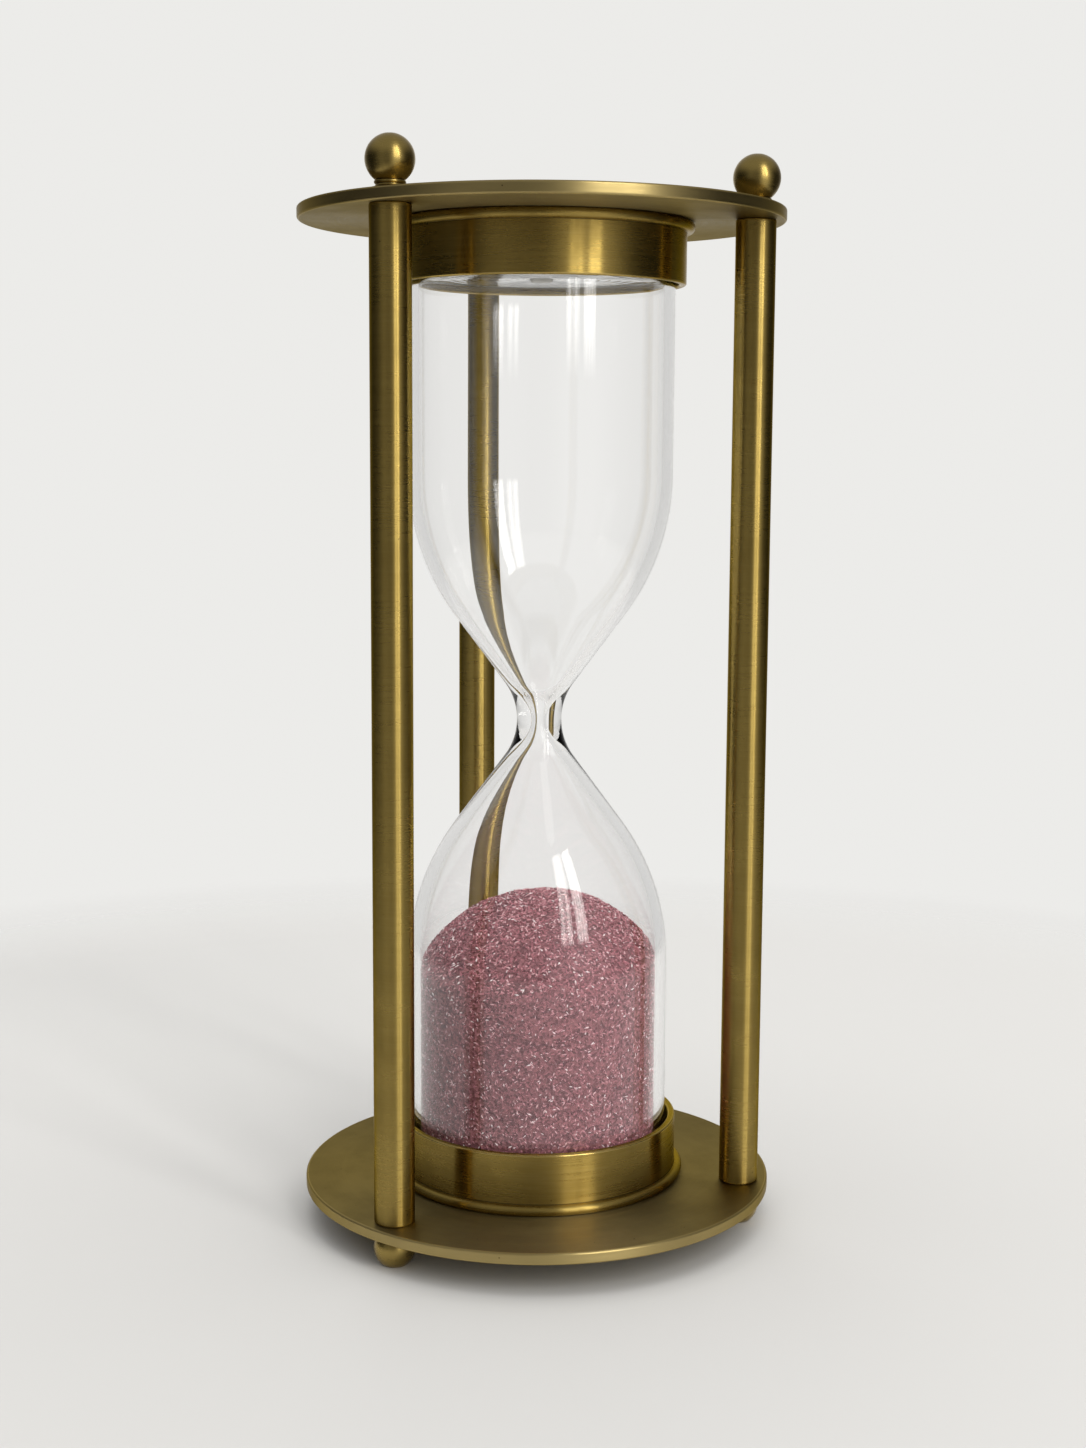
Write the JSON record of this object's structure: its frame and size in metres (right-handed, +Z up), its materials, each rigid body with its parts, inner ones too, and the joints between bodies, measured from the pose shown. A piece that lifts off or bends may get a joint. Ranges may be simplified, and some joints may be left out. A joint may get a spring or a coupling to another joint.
{
  "type": "hourglass",
  "caption": "Brass framed hourglass: round plates joined by pillars with ball finials and ball feet, and a blown glass with pink sand held in collars.",
  "frame": {"origin": "on the axis of the glass, at the height of the surface that the feet stand on", "axes": "+Z up along the axis of the glass, +X towards the right pillar; the back and left pillars are a third and two thirds of a turn on"},
  "size_m": [0.122, 0.122, 0.2717],
  "materials": {
    "plates": "satin, brushed, antique patina",
    "pillars": "satin, turned, antique patina",
    "collars": "satin, brushed round, antique patina",
    "balls": "satin, turned, antique patina",
    "washers": "satin, turned, antique patina",
    "studs": "plain, threaded",
    "glass": "clear, blown",
    "stopper": "matte",
    "cushions": "grey wool felt",
    "sand": "dusty pink, coarse, sparkling grains"
  },
  "bodies": {
    "root": {"bottom_plate": "plates", "top_plate": "plates", "pillar_right": "pillars", "pillar_back": "pillars", "pillar_left": "pillars", "foot_stud_right": "studs", "finial_stud_right": "studs", "foot_stud_back": "studs", "finial_stud_back": "studs", "foot_stud_left": "studs", "finial_stud_left": "studs", "finial_washer_right": "washers", "finial_right": "balls", "foot_washer_right": "washers", "foot_right": "balls", "finial_washer_back": "washers", "finial_back": "balls", "foot_washer_back": "washers", "foot_back": "balls", "finial_washer_left": "washers", "finial_left": "balls", "foot_washer_left": "washers", "foot_left": "balls", "bottom_collar": "collars", "top_collar": "collars", "glass_bulb": "glass", "glass_stopper": "stopper", "lower_cushion": "cushions", "upper_cushion": "cushions", "sand": "sand"}
  },
  "joints": []
}
